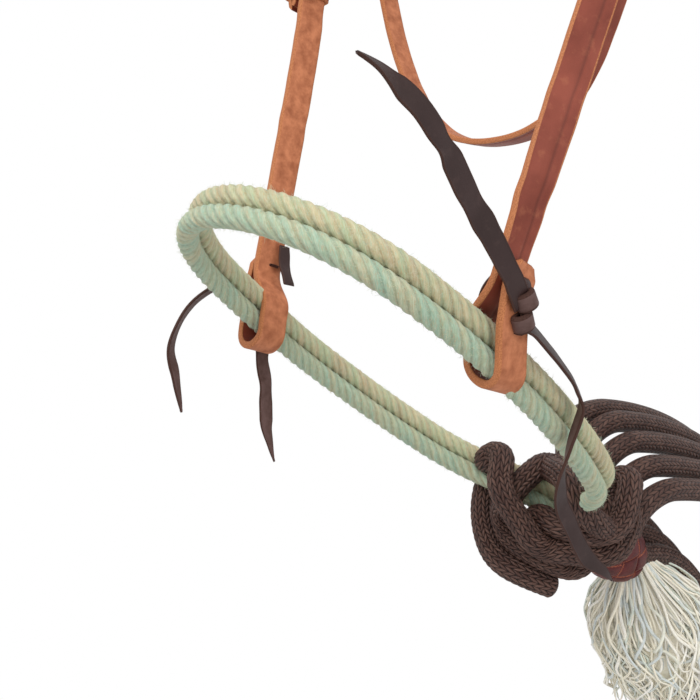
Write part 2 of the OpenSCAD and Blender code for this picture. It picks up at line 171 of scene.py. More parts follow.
def smooth_noise(n, step, size, axes=3):
    """Soft random wander along n points, with features of the given size."""
    count = max(4, int(n * step / size) + 3)
    knots = rng.normal(0, 1, (count, axes))
    s = np.linspace(0, count - 1.001, n)
    i = s.astype(int)
    f = ease(s - i)[:, None]
    return knots[i] * (1 - f) + knots[i + 1] * f


# ---------------------------------------------------------------- meshes
def piece(name, material, body, slot, nodes=()):
    """An empty mesh object with its finish, its body, its slot and the nodes it stands for."""
    ob = bpy.data.objects.new(name, bpy.data.meshes.new(name))
    bpy.context.scene.collection.objects.link(ob)
    ob.data.materials.append(material)
    ob["body"], ob["slot_name"], ob["nodes"] = body, slot, list(nodes)
    return ob


def settle(ob, blend=None):
    """Ties a finished piece to its body; given a blend, it only bakes the piece's place into its mesh and ties it to
    no body.
    """
    if blend:
        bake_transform(ob)
    else:
        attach(ob, ob["body"])
    if len(ob["nodes"]):
        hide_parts(*list(ob["nodes"]))
    return ob


def fill(ob, verts, faces, uv, **attributes):
    """Puts vertices in millimetres and faces into a mesh, with loop UVs and attributes."""
    me = ob.data
    verts = np.asarray(verts, float) * 0.001
    if isinstance(faces, list):
        sizes, flat = np.array([len(f) for f in faces]), np.concatenate([np.asarray(f) for f in faces])
    else:
        sizes, flat = np.full(len(faces), faces.shape[1]), faces.ravel()
    me.vertices.add(len(verts))
    me.vertices.foreach_set("co", verts.ravel().astype(np.float32))
    me.loops.add(len(flat))
    me.loops.foreach_set("vertex_index", flat.astype(np.int32))
    me.polygons.add(len(sizes))
    me.polygons.foreach_set("loop_start", np.r_[0, np.cumsum(sizes)[:-1]].astype(np.int32))
    me.polygons.foreach_set("loop_total", sizes.astype(np.int32))
    me.polygons.foreach_set("use_smooth", np.ones(len(sizes), bool))
    me.uv_layers.new(name="UV").data.foreach_set("uv", np.asarray(uv, np.float32).ravel())
    for key, value in attributes.items():
        value = np.asarray(value, np.float32)
        kind, field = ("FLOAT", "value") if value.ndim == 1 else ("FLOAT_VECTOR", "vector")
        me.attributes.new(key, kind, "POINT").data.foreach_set(field, value.ravel())
    me.update(calc_edges=True)
    me.validate()
    return ob


def sweep(ob, rings, u, v, closed=False, to=None, **attributes):
    """A skin over rings of points, an array of (ring, point, 3). u is the length along it
    and v the place round it, both in metres or turns, and v has one value more than a ring."""
    m, n = rings.shape[:2]
    if to is not None:
        rings = to(rings.reshape(-1, 3)).reshape(rings.shape)
    i, k = np.meshgrid(np.arange(m if closed else m - 1), np.arange(n), indexing="ij")
    j, l = (i + 1) % m, (k + 1) % n
    quads = np.stack([i * n + k, j * n + k, j * n + l, i * n + l], -1).reshape(-1, 4)
    u2 = np.append(u, 2 * u[-1] - u[-2])
    ui, uj, vk, vl = u2[i], u2[i + 1], np.asarray(v)[k], np.asarray(v)[k + 1]
    corners = (ui, vk), (uj, vk), (uj, vl), (ui, vl)
    uv = np.stack([np.stack(c, -1) for c in corners], -2).reshape(-1, 2)
    verts = rings.reshape(-1, 3)
    a, b = verts[quads[:, 1]] - verts[quads[:, 0]], verts[quads[:, 3]] - verts[quads[:, 0]]
    centre = rings.mean(1)[i.ravel()]
    flip = np.einsum("ij,ij->i", np.cross(a, b), verts[quads[:, 0]] - centre).sum() < 0
    faces = quads
    if flip:
        faces = quads[:, ::-1]
        uv = uv.reshape(-1, 4, 2)[:, ::-1].reshape(-1, 2)
    if not closed:
        first, last = np.arange(n), (m - 1) * n + np.arange(n)
        order = [first, last[::-1]] if flip else [first[::-1], last]
        faces = list(faces) + order
        uv = np.concatenate([uv, np.tile([u[0], v[0]], (n, 1)), np.tile([u[-1], v[0]], (n, 1))])
    return fill(ob, verts, faces, uv, **attributes)


def section(width, thick, corner, crease=None, count=13, depth=0.35):
    """A strap's section: (across, through) points round a rounded rectangle, with how
    much each is edge, its face (1 grain, 0 flesh) and how deep it is in a crease."""
    a = np.linspace(-width / 2 + corner, width / 2 - corner, count)
    line = np.zeros(count) if crease is None else np.exp(-((a - (width / 2 - crease)) / 0.55) ** 2)
    crown = 0.25 * (1 - (2 * a / width) ** 2)
    pts = [np.stack([a, thick / 2 - depth * line + crown - 0.25], 1)]
    t = np.radians([72, 54, 36, 18, 0, -18, -36, -54, -72])
    straight = np.sign(np.sin(t) + 1e-9) * (thick / 2 - corner) * (np.abs(t) > 1e-6)
    side = np.stack([width / 2 - corner + corner * np.cos(t), straight + corner * np.sin(t)], 1)
    side[:, 1] *= 0.97
    pts.append(side)
    pts.append(np.stack([a[::-1], -thick / 2 + 0 * a], 1))
    pts.append(side[::-1] * [-1, 1])
    p = np.concatenate(pts)
    edge = np.r_[np.zeros(count), np.ones(9), np.zeros(count), np.ones(9)]
    edge[[0, count - 1, count + 9, 2 * count + 8]] = 0.35
    turned = 0.5 + 0.5 * np.sin(t)
    face = np.r_[np.ones(count), turned, np.zeros(count), turned[::-1]]
    return p, edge, face, np.r_[line, np.zeros(9 + count + 9)]


def strap(ob, p, wide, width, thick, corner=0.8, crease=None, closed=False, ends=3.0, wobble=0.15,
          clip=0.0, to=None):
    """A leather strap along the points p. wide is the direction of its width, one or one
    per point; width may vary. The ends round off over the given length; clip cuts the
    corners of the last end; wobble is how far it strays from its line."""
    t = headings(p, closed)
    wide = np.broadcast_to(np.asarray(wide, float), p.shape)
    out = unit(np.cross(t, wide))
    wide = np.cross(out, t)
    width = np.broadcast_to(np.asarray(width, float), (len(p),)).copy()
    nominal = float(width.max())
    sec, edge, face, crease_at = section(nominal, thick, corner, crease)
    s = lengths(p)
    scale = width / nominal
    thin = np.ones(len(p))
    if not closed:
        for d in (s, s[-1] - s):
            thin *= np.sqrt(np.clip(1 - (1 - np.clip(d / 1.2, 0, 1)) ** 2, 0.02, 1))
        if ends:
            for d in (s, s[-1] - s):
                scale = scale * np.sqrt(np.clip(1 - 0.45 * (1 - np.clip(d / ends, 0, 1)) ** 2, 0.05, 1))
        if clip:
            scale = np.minimum(scale, 1 - (clip - np.clip(s[-1] - s, 0, clip)) / clip * 0.55)
    drift = smooth_noise(len(p), max(s[-1] / len(p), 0.1), 9, 2) * wobble
    if closed:
        drift *= 0
    across = sec[None, :, :1] * scale[:, None, None] + 0.5 * drift[:, None, :1]
    through = sec[None, :, 1:] * thin[:, None, None] + 0.4 * drift[:, None, 1:]
    rings = p[:, None] + wide[:, None] * across + out[:, None] * through
    m = len(p)
    v = np.r_[lengths(sec), lengths(sec)[-1] + 1] * 0.001
    return sweep(ob, rings, s * 0.001, v, closed, to, edge=np.tile(edge, m), face=np.tile(face, m),
                 crease=np.tile(crease_at, m))


# ---------------------------------------------------------------- finishes
def rgb(r, g, b):
    """An sRGB colour out of 255, as linear light."""
    c = np.array([r, g, b]) / 255
    c = np.where(c <= 0.04045, c / 12.92, ((c + 0.055) / 1.055) ** 2.4)
    return (float(c[0]), float(c[1]), float(c[2]), 1.0)


def feed(tree, n, ins):
    """Links or sets a node's inputs and gives the node back."""
    for key, value in dict(ins).items():
        if isinstance(value, bpy.types.NodeSocket):
            tree.links.new(value, n.inputs[key])
        else:
            n.inputs[key].default_value = value
    return n


def node(tree, kind, ins=(), **props):
    """A new shader node with its settings and inputs."""
    n = tree.nodes.new("ShaderNode" + kind)
    for key, value in props.items():
        setattr(n, key, value)
    return feed(tree, n, ins)


def calc(tree, op, a, b=0.0):
    """One sum of two values."""
    return node(tree, "Math", {0: a, 1: b}, operation=op).outputs[0]


def add(tree, a, b):
    """a plus b."""
    return calc(tree, "ADD", a, b)


def times(tree, a, b):
    """a times b."""
    return calc(tree, "MULTIPLY", a, b)


def mix(tree, factor, a, b, how="MIX"):
    """a where the factor is 0, b where it is 1."""
    return node(tree, "Mix", {0: factor, 6: a, 7: b}, data_type="RGBA", blend_type=how).outputs[2]


def dim(tree, colour, r, g, b):
    """The colour multiplied by another."""
    return mix(tree, 1.0, colour, (r, g, b, 1), "MULTIPLY")


def span(tree, value, low, high, to_low=0.0, to_high=1.0):
    """The value carried from low..high to to_low..to_high, and held outside."""
    return node(tree, "MapRange", {0: value, 1: low, 2: high, 3: to_low, 4: to_high}).outputs[0]


def noise(tree, vector, scale, detail=3.0, rough=0.55):
    """Soft random values, scale of them to a metre of the vector."""
    ins = {"Vector": vector, "Scale": scale, "Detail": detail, "Roughness": rough}
    return node(tree, "TexNoise", ins).outputs[0]


def named(tree, name, vector=False):
    """A value stored on the piece's points."""
    return node(tree, "Attribute", attribute_name=name).outputs["Vector" if vector else "Fac"]


def uv_of(tree, along=1.0, across=1.0):
    """The piece's own UV in metres, stretched along or across it."""
    uv = node(tree, "UVMap", uv_map="UV").outputs[0]
    return node(tree, "Mapping", {"Vector": uv, "Scale": (along, across, 1.0)}).outputs[0]


def group(name, ins, outs, build):
    """A node group with colour inputs, filled by build."""
    g = bpy.data.node_groups.new(name, "ShaderNodeTree")
    for n in ins:
        g.interface.new_socket(n, in_out="INPUT", socket_type="NodeSocketColor")
    for n, kind in outs:
        g.interface.new_socket(n, in_out="OUTPUT", socket_type="NodeSocket" + kind)
    a, b = g.nodes.new("NodeGroupInput"), g.nodes.new("NodeGroupOutput")
    for n, value in build(g, a.outputs).items():
        g.links.new(value, b.inputs[n])
    return g


def use(tree, g, ins):
    """A node group placed in a finish; gives its outputs."""
    n = tree.nodes.new("ShaderNodeGroup")
    n.node_tree = g
    return feed(tree, n, ins).outputs


def material(name):
    """An empty finish, its nodes and its shader."""
    m = bpy.data.materials.new(name)
    m.use_nodes = True
    shader = m.node_tree.nodes["Principled BSDF"]
    shader.inputs["Specular IOR Level"].default_value = 0.25
    return m, m.node_tree, shader


def bump(tree, shader, height, distance, strength=1.0):
    """Lets a height bend the surface's direction, by distance metres at most."""
    n = node(tree, "Bump", {"Height": height, "Distance": distance, "Strength": strength})
    tree.links.new(n.outputs[0], shader.inputs["Normal"])


def leather_look(g, ins):
    """Grain, flesh and raw edge, with pores, wrinkles, wear and a darker crease."""
    uv = uv_of(g)
    cloud, patch = noise(g, uv, 38, 4), noise(g, uv, 160, 5, 0.6)
    fine, fibre = noise(g, uv, 1500, 3, 0.6), noise(g, uv_of(g, 0.22), 2200, 3, 0.6)
    edge, crease = named(g, "edge"), named(g, "crease")
    uneven = calc(g, "SUBTRACT", patch, 0.5)
    face = span(g, add(g, named(g, "face"), times(g, uneven, 0.35)), 0.4, 0.6)
    back = calc(g, "SUBTRACT", 1.0, face)
    flesh = mix(g, span(g, patch, 0.35, 0.68), ins["Flesh"], dim(g, ins["Flesh"], 0.56, 0.46, 0.4))
    flesh = mix(g, span(g, fibre, 0.5, 0.75, 0, 0.35), flesh, mix(g, 0.35, flesh, ins["Edge"]))
    grain = mix(g, span(g, cloud, 0.36, 0.66), ins["Grain"], dim(g, ins["Grain"], 0.66, 0.58, 0.56))
    grain = mix(g, span(g, patch, 0.55, 0.72, 0, 0.4), grain, mix(g, 0.5, grain, ins["Flesh"]))
    body = mix(g, face, flesh, grain)
    body = mix(g, times(g, crease, 0.45), body, dim(g, body, 0.34, 0.28, 0.26))
    worn = span(g, add(g, edge, times(g, uneven, 0.5)), 0.42, 0.62)
    rim = mix(g, span(g, fine, 0.4, 0.7), ins["Edge"], dim(g, ins["Edge"], 0.55, 0.46, 0.4))
    height = add(g, times(g, fine, 0.35), times(g, patch, 0.5))
    height = add(g, height, times(g, times(g, fibre, 0.6), back))
    rough = add(g, span(g, cloud, 0.3, 0.7, 0.42, 0.56), times(g, worn, 0.18))
    rough = add(g, rough, times(g, back, 0.14))
    return {"Colour": mix(g, worn, body, rim), "Height": height, "Roughness": rough}


LEATHER = group("leather look", ("Grain", "Flesh", "Edge"),
                (("Colour", "Color"), ("Height", "Float"), ("Roughness", "Float")), leather_look)


def leather(name, grain, flesh, edge):
    """A leather finish from the colours of its grain, flesh and raw edge."""
    m, t, shader = material(name)
    look = use(t, LEATHER, {"Grain": grain, "Flesh": flesh, "Edge": edge})
    t.links.new(look["Colour"], shader.inputs["Base Color"])
    t.links.new(look["Roughness"], shader.inputs["Roughness"])
    shader.inputs["Specular IOR Level"].default_value = 0.3
    bump(t, shader, look["Height"], 0.00022, 0.8)
    return m


STRAP = leather("strap leather", rgb(142, 68, 50), rgb(196, 124, 86), rgb(190, 122, 80))
LACE = leather("dark lace", rgb(56, 38, 36), rgb(98, 74, 70), rgb(70, 44, 36))


def rope_look(g, ins):
    """Fibres that follow each strand, mottled between three tones, with a painted highlight on the paler fibres and
    painted shade in the grooves.
    """
    lay, groove = named(g, "lay", True), named(g, "groove")
    patch, hue = noise(g, lay, 210, 3, 0.6), noise(g, lay, 90, 2)
    fibre, hair = noise(g, lay, 1500, 4, 0.65), noise(g, lay, 4200, 2, 0.6)
    short = node(g, "Mapping", {"Vector": lay, "Scale": (2.2, 1.0, 1.0)}).outputs[0]
    speck = noise(g, short, 1150, 4, 0.7)
    colour = mix(g, span(g, patch, 0.40, 0.60), ins["First"], ins["Second"])
    colour = mix(g, span(g, hue, 0.52, 0.66, 0, 0.7), colour, ins["Third"])
    # Paler, near-white fibres: a painted highlight along the fibres.
    colour = mix(g, span(g, fibre, 0.48, 0.72, 0, 0.4), colour, (0.86, 0.88, 0.74, 1))
    colour = mix(g, span(g, fibre, 0.52, 0.30, 0, 0.3), colour, dim(g, colour, 0.56, 0.56, 0.44))
    colour = mix(g, span(g, speck, 0.53, 0.66, 0, 0.55), colour, (0.60, 0.40, 0.22, 1))
    colour = mix(g, span(g, speck, 0.46, 0.34, 0, 0.5), colour, (0.42, 0.60, 0.46, 1))
    # Painted shade: darker the deeper a point lies in a groove between strands.
    colour = mix(g, times(g, groove, 0.4), colour, dim(g, colour, 0.42, 0.42, 0.36))
    return {"Colour": colour, "Height": add(g, add(g, fibre, speck), times(g, hair, 0.6))}


ROPE_LOOK = group("laid rope", ("First", "Second", "Third"), (("Colour", "Color"), ("Height", "Float")), rope_look)


def laid_rope(name, first, second, third):
    """A laid rope's finish from its three tones."""
    m, t, shader = material(name)
    look = use(t, ROPE_LOOK, {"First": first, "Second": second, "Third": third})
    t.links.new(look["Colour"], shader.inputs["Base Color"])
    shader.inputs["Roughness"].default_value = 0.85
    shader.inputs["Sheen Weight"].default_value = 0.25
    bump(t, shader, look["Height"], 0.0005, 0.9)
    return m


UPPER_ROPE = laid_rope("pale rope upper", rgb(186, 196, 156), rgb(208, 196, 156), rgb(196, 174, 138))
LOWER_ROPE = laid_rope("pale rope lower", rgb(164, 192, 168), rgb(180, 192, 160), rgb(196, 190, 154))


def plain(name, colour, roughness, sheen=0.0, metallic=0.0):
    """A finish with one colour and uniform settings."""
    m, t, shader = material(name)
    shader.inputs["Base Color"].default_value = colour
    shader.inputs["Roughness"].default_value = roughness
    shader.inputs["Sheen Weight"].default_value = sheen
    shader.inputs["Metallic"].default_value = metallic
    return m, t, shader


FUZZ, t, shader = plain("rope fuzz", rgb(214, 218, 190), 0.9, 0.3)
where = node(t, "TexCoord").outputs["Object"]
tone = mix(t, span(t, noise(t, where, 60), 0.4, 0.6), rgb(222, 216, 178), rgb(184, 206, 182))
t.links.new(tone, shader.inputs["Base Color"])

STEEL, t, shader = plain("satin steel", rgb(176, 174, 170), 0.32, 0.0, 1.0)
where = node(t, "TexCoord").outputs["Object"]
t.links.new(span(t, noise(t, where, 900, 4), 0.35, 0.7, 0.24, 0.46), shader.inputs["Roughness"])
bump(t, shader, noise(t, where, 2400, 2), 0.00003, 0.5)

# Columns of slanted stitches, every other one slanted the other way.
BRAID, t, shader = plain("braided rope", rgb(74, 54, 50), 0.5)
uv = node(t, "SeparateXYZ", {0: node(t, "UVMap", uv_map="UV").outputs[0]})
column = times(t, uv.outputs[1], STITCH)
part = calc(t, "FRACT", column)
odd = calc(t, "MODULO", calc(t, "FLOOR", column), 2.0)
slant = calc(t, "ABSOLUTE", calc(t, "SUBTRACT", odd, part))
phase = add(t, times(t, uv.outputs[0], 1000 / STITCH_MM), times(t, slant, 0.85))
ridge = calc(t, "POWER", calc(t, "ABSOLUTE", calc(t, "SINE", times(t, phase, math.pi))), 0.55)
side = calc(t, "POWER", calc(t, "SINE", times(t, part, math.pi)), 0.45)
stitch = times(t, ridge, side)
cell = node(t, "CombineXYZ", {0: calc(t, "FLOOR", phase), 1: calc(t, "FLOOR", column)}).outputs[0]
chance = node(t, "TexWhiteNoise", {"Vector": cell}, noise_dimensions="3D").outputs[0]
thread = noise(t, uv_of(t, 1.0, 0.045), 2600, 3, 0.6)
tone = mix(t, chance, rgb(66, 44, 39), rgb(98, 72, 63))
tone = mix(t, span(t, thread, 0.5, 0.75, 0, 0.5), tone, rgb(128, 98, 86))
# Painted shade: near-black in the crevices between the stitches.
tone = mix(t, span(t, stitch, 0.62, 0.15), tone, rgb(20, 12, 11))
t.links.new(tone, shader.inputs["Base Color"])
t.links.new(span(t, thread, 0.3, 0.7, 0.36, 0.58), shader.inputs["Roughness"])
bump(t, shader, add(t, stitch, times(t, thread, 0.12)), 0.0008, 0.9)


def stitch_height(s, turn_at):
    """The same stitches as the finish of the braided rope, as height in millimetres."""
    column = turn_at * STITCH + 0 * s
    part = column % 1
    slant = np.abs((np.floor(column) % 2) - part)
    phase = s / STITCH_MM + 0.85 * slant
    ridge = np.abs(np.sin(math.pi * phase)) ** 0.55
    return 0.75 * (ridge * np.sin(math.pi * np.clip(part, 0.01, 0.99)) ** 0.45 - 0.75)


PLAIT, t, shader = material("plaited leather")
uv = uv_of(t)
cloud, fine = noise(t, uv, 110, 4), noise(t, uv, 1500, 3)
tone = mix(t, span(t, cloud, 0.35, 0.65), rgb(98, 34, 33), rgb(66, 20, 23))
raw = mix(t, span(t, fine, 0.4, 0.65), rgb(166, 92, 62), rgb(104, 46, 40))
tone = mix(t, span(t, named(t, "edge"), 0.5, 0.8), tone, raw)
# Painted shade: near-black where a strand dips under its neighbour.
tone = mix(t, span(t, named(t, "groove"), 0.55, 1.0), tone, rgb(34, 12, 14))
t.links.new(tone, shader.inputs["Base Color"])
shader.inputs["Roughness"].default_value = 0.42
bump(t, shader, add(t, times(t, cloud, 0.6), fine), 0.0002, 0.8)

YARN, t, shader = plain("frayed fibre", rgb(226, 222, 206), 0.9, 0.3)
tint = named(t, "tint")
tone = mix(t, span(t, tint, 0.0, 0.5), rgb(252, 250, 244), rgb(244, 238, 220))
tone = mix(t, span(t, tint, 0.62, 0.72, 0, 1), tone, rgb(220, 228, 218))
tone = mix(t, span(t, tint, 0.84, 0.9, 0, 1), tone, rgb(214, 222, 222))
tone = mix(t, span(t, noise(t, uv_of(t, 1, 0.01), 900, 3), 0.45, 0.7, 0, 0.4), tone, rgb(222, 206, 170))
t.links.new(tone, shader.inputs["Base Color"])


# ---------------------------------------------------------------- laid ropes of the noseband
def half_loop():
    """The left half of the noseband as (across, along), from the nose to the heel."""
    first = (-NOSE_REACH, 0)
    nose = bend(first, NOSE_R, 0, NOSE_END, 12)
    side = bend(nose[-1], SIDE_R, NOSE_END, SIDE_END, 12)
    jaw = bend(side[-1], JAW_R, SIDE_END, JAW_END, 6)
    s, c = math.sin(math.radians(JAW_END)), math.cos(math.radians(JAW_END))
    start = jaw[-1] + (jaw[-1][1] - NECK_R * (1 - s) - RUN_OFF) / -c * np.array([s, c])
    neck = bend(start, -NECK_R, JAW_END, 90, 6)
    ends = [((neck[-1][0] + HEEL_END) / 2, RUN_OFF), (HEEL_END - 4, RUN_OFF)]
    return np.concatenate([[first], nose, side, jaw, [start], neck, ends])[:, ::-1]


def whole_loop(step):
    """Both halves of the noseband's middle line, at equal steps."""
    left = half_loop()
    return curve(np.concatenate([left[:0:-1] * [-1, 1], left]), step)


def laid_run(name, material, height):
    """One rope of the noseband. Its radius rises in the middle of each strand and falls
    to the grooves, and the strands turn once in LAY_PITCH along the rope."""
    flat = whole_loop(0.95)
    p = np.c_[flat, np.full(len(flat), height)]
    p += smooth_noise(len(p), 0.95, 45) * [0.25, 0.25, 0.12]
    ob = piece(name, material, "noseband", "pale_rope", ["noseband_" + name])
    t = headings(p)
    a = unit(np.cross(Z, t))
    b = np.cross(t, a)
    s, count = lengths(p), 70
    turn_at = np.arange(count) / count
    phi = 2 * math.pi * turn_at
    u = np.abs(((turn_at - s[:, None] / LAY_PITCH) * STRANDS) % 1 - 0.5) * 2
    lobes = 0.3 - 1.05 * u ** 2.2 + 0.05 * np.sin(s[:, None] * 0.9 + turn_at * 40)
    r = ROPE_R + lobes + rng.normal(0, 0.05, (len(p), count))
    rings = around(p, a, b, r, phi)
    back = phi[None] - 2 * math.pi * s[:, None] / LAY_PITCH
    lay = np.stack([s[:, None] * 0.25 + 0 * back + height * 7, r * np.cos(back), r * np.sin(back)], -1) * 0.001
    # How deep each point lies in a groove between strands, where the finish paints shade.
    groove = np.clip((ROPE_R + 0.1 - r) / 1.0, 0, 1)
    sweep(ob, rings, s * 0.001, np.linspace(0, 1, count + 1), to=noseband,
          lay=lay.reshape(-1, 3), groove=groove.ravel())
    settle(ob)
    return rings, t, a, b


def fuzz(name, ropes, count):
    """Short stray fibres all over the ropes, as thin three-sided spikes."""
    base, lead = [], []
    for rings, t, a, b in ropes:
        i = rng.integers(2, len(rings) - 60, count)
        k = rng.integers(0, rings.shape[1], count)
        at = rings[i, k]
        centre = rings[i].mean(1)
        base.append(at)
        lead.append(unit(unit(at - centre) * rng.uniform(0.35, 1.0, (count, 1)) + t[i] * rng.normal(0, 0.8, (count, 1))
                         + rng.normal(0, 0.35, (count, 3))))
    base, lead = np.concatenate(base), np.concatenate(lead)
    n = len(base)
    long = rng.gamma(3.0, 0.42, (n, 1)) + 0.5
    mid = base + lead * long * 0.5
    tip = mid + unit(lead + rng.normal(0, 0.5, (n, 3))) * long * 0.5
    a = unit(np.cross(lead, rng.normal(0, 1, (n, 3))))
    b = np.cross(lead, a)
    verts = []
    for centre, r in ((base - lead * 0.2, 0.055), (mid, 0.045)):
        for q in range(3):
            g = 2 * math.pi * q / 3
            verts.append(centre + r * (math.cos(g) * a + math.sin(g) * b))
    verts.append(tip)
    verts = np.stack(verts, 1)
    faces = []
    for q in range(3):
        w = (q + 1) % 3
        faces += [(q, w, 3 + w), (q, 3 + w, 3 + q), (3 + q, 3 + w, 6)]
    faces = (np.arange(n)[:, None, None] * 7 + np.array(faces)[None]).reshape(-1, 3)
    ob = piece(name, FUZZ, "noseband", "pale_rope")
    fill(ob, noseband(verts.reshape(-1, 3)), faces, np.zeros((faces.size, 2)))
    settle(ob)


upper = laid_run("upper_run", UPPER_ROPE, RUN_OFF)
lower = laid_run("lower_run", LOWER_ROPE, -RUN_OFF)
fuzz("rope_fuzz", [upper, lower], 6500)

# ---------------------------------------------------------------- cheek straps, laces
BAR_X, BUCKLE_UP, FOLD_R, WALL, HALF_TIE = 7.65, 228.0, 3.65, 9.5, 15.0
STRAP_X, TAIL_X, TAIL_TOP, BILLET_IN = 4.0, 8.2, 37.0, 13.6


def lean_at(z, share):
    """How far a strap has leaned to the heel at height z, to follow the ropes."""
    grid = np.linspace(-30, 60, 400)
    slope = share * math.tan(math.radians(21)) * np.clip((38 - grid) / 22, 0, 1)
    fall = np.cumsum(slope[::-1])[::-1] * (grid[1] - grid[0])
    return np.interp(z, grid, fall)


def cheek_strap(name, side, share, y0, rise, twist, low, tip):
    """One strap. share is how far its loop leans to follow the ropes, y0 its place on them,
    rise shortens the loop, twist turns the upper part, and low moves the loop forward."""
    path = np.concatenate([
        [[BAR_X + FOLD_R, BUCKLE_UP - 40], [BAR_X + FOLD_R, BUCKLE_UP - 20]],
        arc([BAR_X, BUCKLE_UP], FOLD_R, 0, 180, 10),
        [[STRAP_X, z] for z in (200, 170, 140, 110, 80, 60, 46, 40)],
        [[STRAP_X, 33], [STRAP_X - 0.6, 27], [STRAP_X - 2.8, 22], [-WALL + 7, 17],
         [-WALL + 2.4, 11.5], [-WALL + 0.3, 7], [-WALL, 3]],
        arc([0, HALF_TIE / -2 + rise], WALL, 180, 360, 12),
        [[WALL, 3], [WALL, 13], [WALL - 0.3, 21], [TAIL_X + 0.3, 26], [TAIL_X, 31], [TAIL_X, TAIL_TOP]]])
    p = even(curve(path, 0.4), 1.1)
    z = p[:, 1]
    y = y0 * np.clip((210 - z) / 60, 0, 1) + lean_at(z, share) + low * np.clip((170 - z) / 150, 0, 1)
    gamma = np.radians(twist) * np.clip((z - 44) / 50, 0, 1) * np.clip((205 - z) / 40, 0, 1)
    wide = np.c_[np.sin(gamma), np.cos(gamma), 0 * gamma]
    y = y + tip * np.clip(1 - (lengths(p)[-1] - lengths(p)) / 26, 0, 1)
    p = np.c_[p[:, 0], y, z]
    ob = piece(name, STRAP, "headstall", "strap_leather", ["cheek_" + name])
    strap(ob, p, wide, CHEEK_W, CHEEK_T, 1.0, crease=5.6, to=on_cheek(side), clip=6, ends=0, wobble=0.25)
    start, end = (tuple(cheek(side, [0, 0, z]) * 0.001) for z in (40, 14))
    settle(ob, ("headstall", "noseband", start, end))


cheek_strap("strap_left", 1, 1.0, 2.4, 0.5, 26, -4.5, 4.5)
cheek_strap("strap_right", -1, 0.0, 1.0, 1.5, -8, -7, 0)


def lace(name, side, points, facing, width, nodes=(), pointed=True):
    """A lace ribbon that wanders and narrows to its tip. facing is the direction of its
    face, one or one per point."""
    points = np.asarray(points, float)
    facing = np.broadcast_to(np.asarray(facing, float), points.shape)
    both = curve(np.c_[points, facing * 12], 0.8)
    p, facing = both[:, :3], unit(both[:, 3:])
    p = p + smooth_noise(len(p), 0.8, 14) * 0.35
    t = headings(p)
    s = lengths(p)
    w = width * (1 + 0.06 * smooth_noise(len(p), 0.8, 10, 1)[:, 0])
    if pointed:
        w = w * np.clip((s[-1] - s) / 24, 0.08, 1) ** 0.8
    ob = piece(name, LACE, "headstall", "dark_lace", nodes)
    strap(ob, p, np.cross(facing, t), w, LACE_T, 0.7, to=on_cheek(side), ends=0, wobble=0.1)
    return settle(ob)


def knot_turn(name, side, at, axis, nodes=()):
    """One turn of lace drawn tight round the tails: a closed band with a slanted axis."""
    axis = unit(axis)
    across = unit(Y - axis * (axis @ Y))
    out = np.cross(across, axis)
    g = np.linspace(0, 2 * math.pi, 65)[:-1]
    p = np.asarray(at) + 3.6 * np.cos(g)[:, None] * across + 2.7 * np.sin(g)[:, None] * out
    ob = piece(name, LACE, "headstall", "dark_lace", nodes)
    strap(ob, p, axis, 8.4, 3.0, 1.45, closed=True, to=on_cheek(side))
    return settle(ob)


for side, tag, y0 in ((1, "left", 0.0), (-1, "right", -4.5)):
    knot_turn("lace_turn_upper_" + tag, side, (13.6, y0 + 3.6, 21.8), (0.15, 0.95, -1), ["lace_knot_" + tag])
    knot_turn("lace_turn_lower_" + tag, side, (13.2, y0 + 5.8, 13.2), (-0.05, 0.9, -1))
    lace("lace_through_" + tag, side,
         [(0, y0 + 1.5, 31), (8, y0 + 1.5, 31), (12.2, y0 + 1.8, 29), (13.4, y0 + 3, 24), (13.2, y0 + 6, 14),
          (12, y0 + 7.4, 8.5), (8, y0 + 7.4, 7)],
         [(0, 0, 1), (0.2, 0, 1), (0.8, 0, 0.6), (1, 0, 0), (1, 0, 0), (0.8, 0, -0.6), (0.2, 0, -1)],
         5.5, pointed=False)
lace("lace_stitch_left", 1, [(-4, 2, 36), (-3.4, 2, 33), (-5.6, 2.4, 28), (-8.6, 3, 23), (-9.6, 4, 19)],
     (-1, 0, 0.4), 7, pointed=False)
lace("lace_stitch_right", -1, [(-0.8, 1, 43), (-1.4, 1, 38), (-2.4, 1, 32), (-5.4, 1.4, 26), (-8.4, 2, 20)],
     (-1, 0, 0.3), 7, pointed=False)

lace("upper_tail_left", 1,
     [(13.6, 3, 18.5), (14.4, -6, 26.5), (14, -19.5, 37), (13, -41, 51), (13, -63, 66.5), (13, -77, 74),
      (12, -88, 78), (12, -101, 81), (14, -110, 81)],
     [(1, 0, 0), (0.95, -0.3, 0.05), (0.85, -0.5, 0.1), (0.85, -0.45, 0.25), (0.9, -0.3, 0.3), (1, -0.1, 0.3),
      (1, 0, 0.45), (0.8, 0, 0.9), (0.5, 0, 1)],
     9.8, ["lace_upper_tail_left"])
lace("lower_tail_left", 1,
     [(12.6, 7, 13), (13, 12.5, 11.5), (13, 24, 7), (13, 42, -1), (12.6, 53, -8), (12, 59, -16), (12, 60, -30),
      (12, 60, -44), (12, 64, -55), (12, 77, -68), (12, 95, -81), (13, 122, -92)],
     [(0.8, 0, 0.6), (0.7, 0.1, 0.7), (0.65, 0.15, 0.75), (0.6, 0.25, 0.75), (0.6, 0.5, 0.5), (0.5, 0.8, 0.1),
      (0.55, 0.8, 0), (0.8, 0.5, 0), (1, 0.1, 0.1), (1, -0.1, 0), (1, -0.1, 0), (1, -0.1, 0)],
     8.5, ["lace_lower_tail_left"])
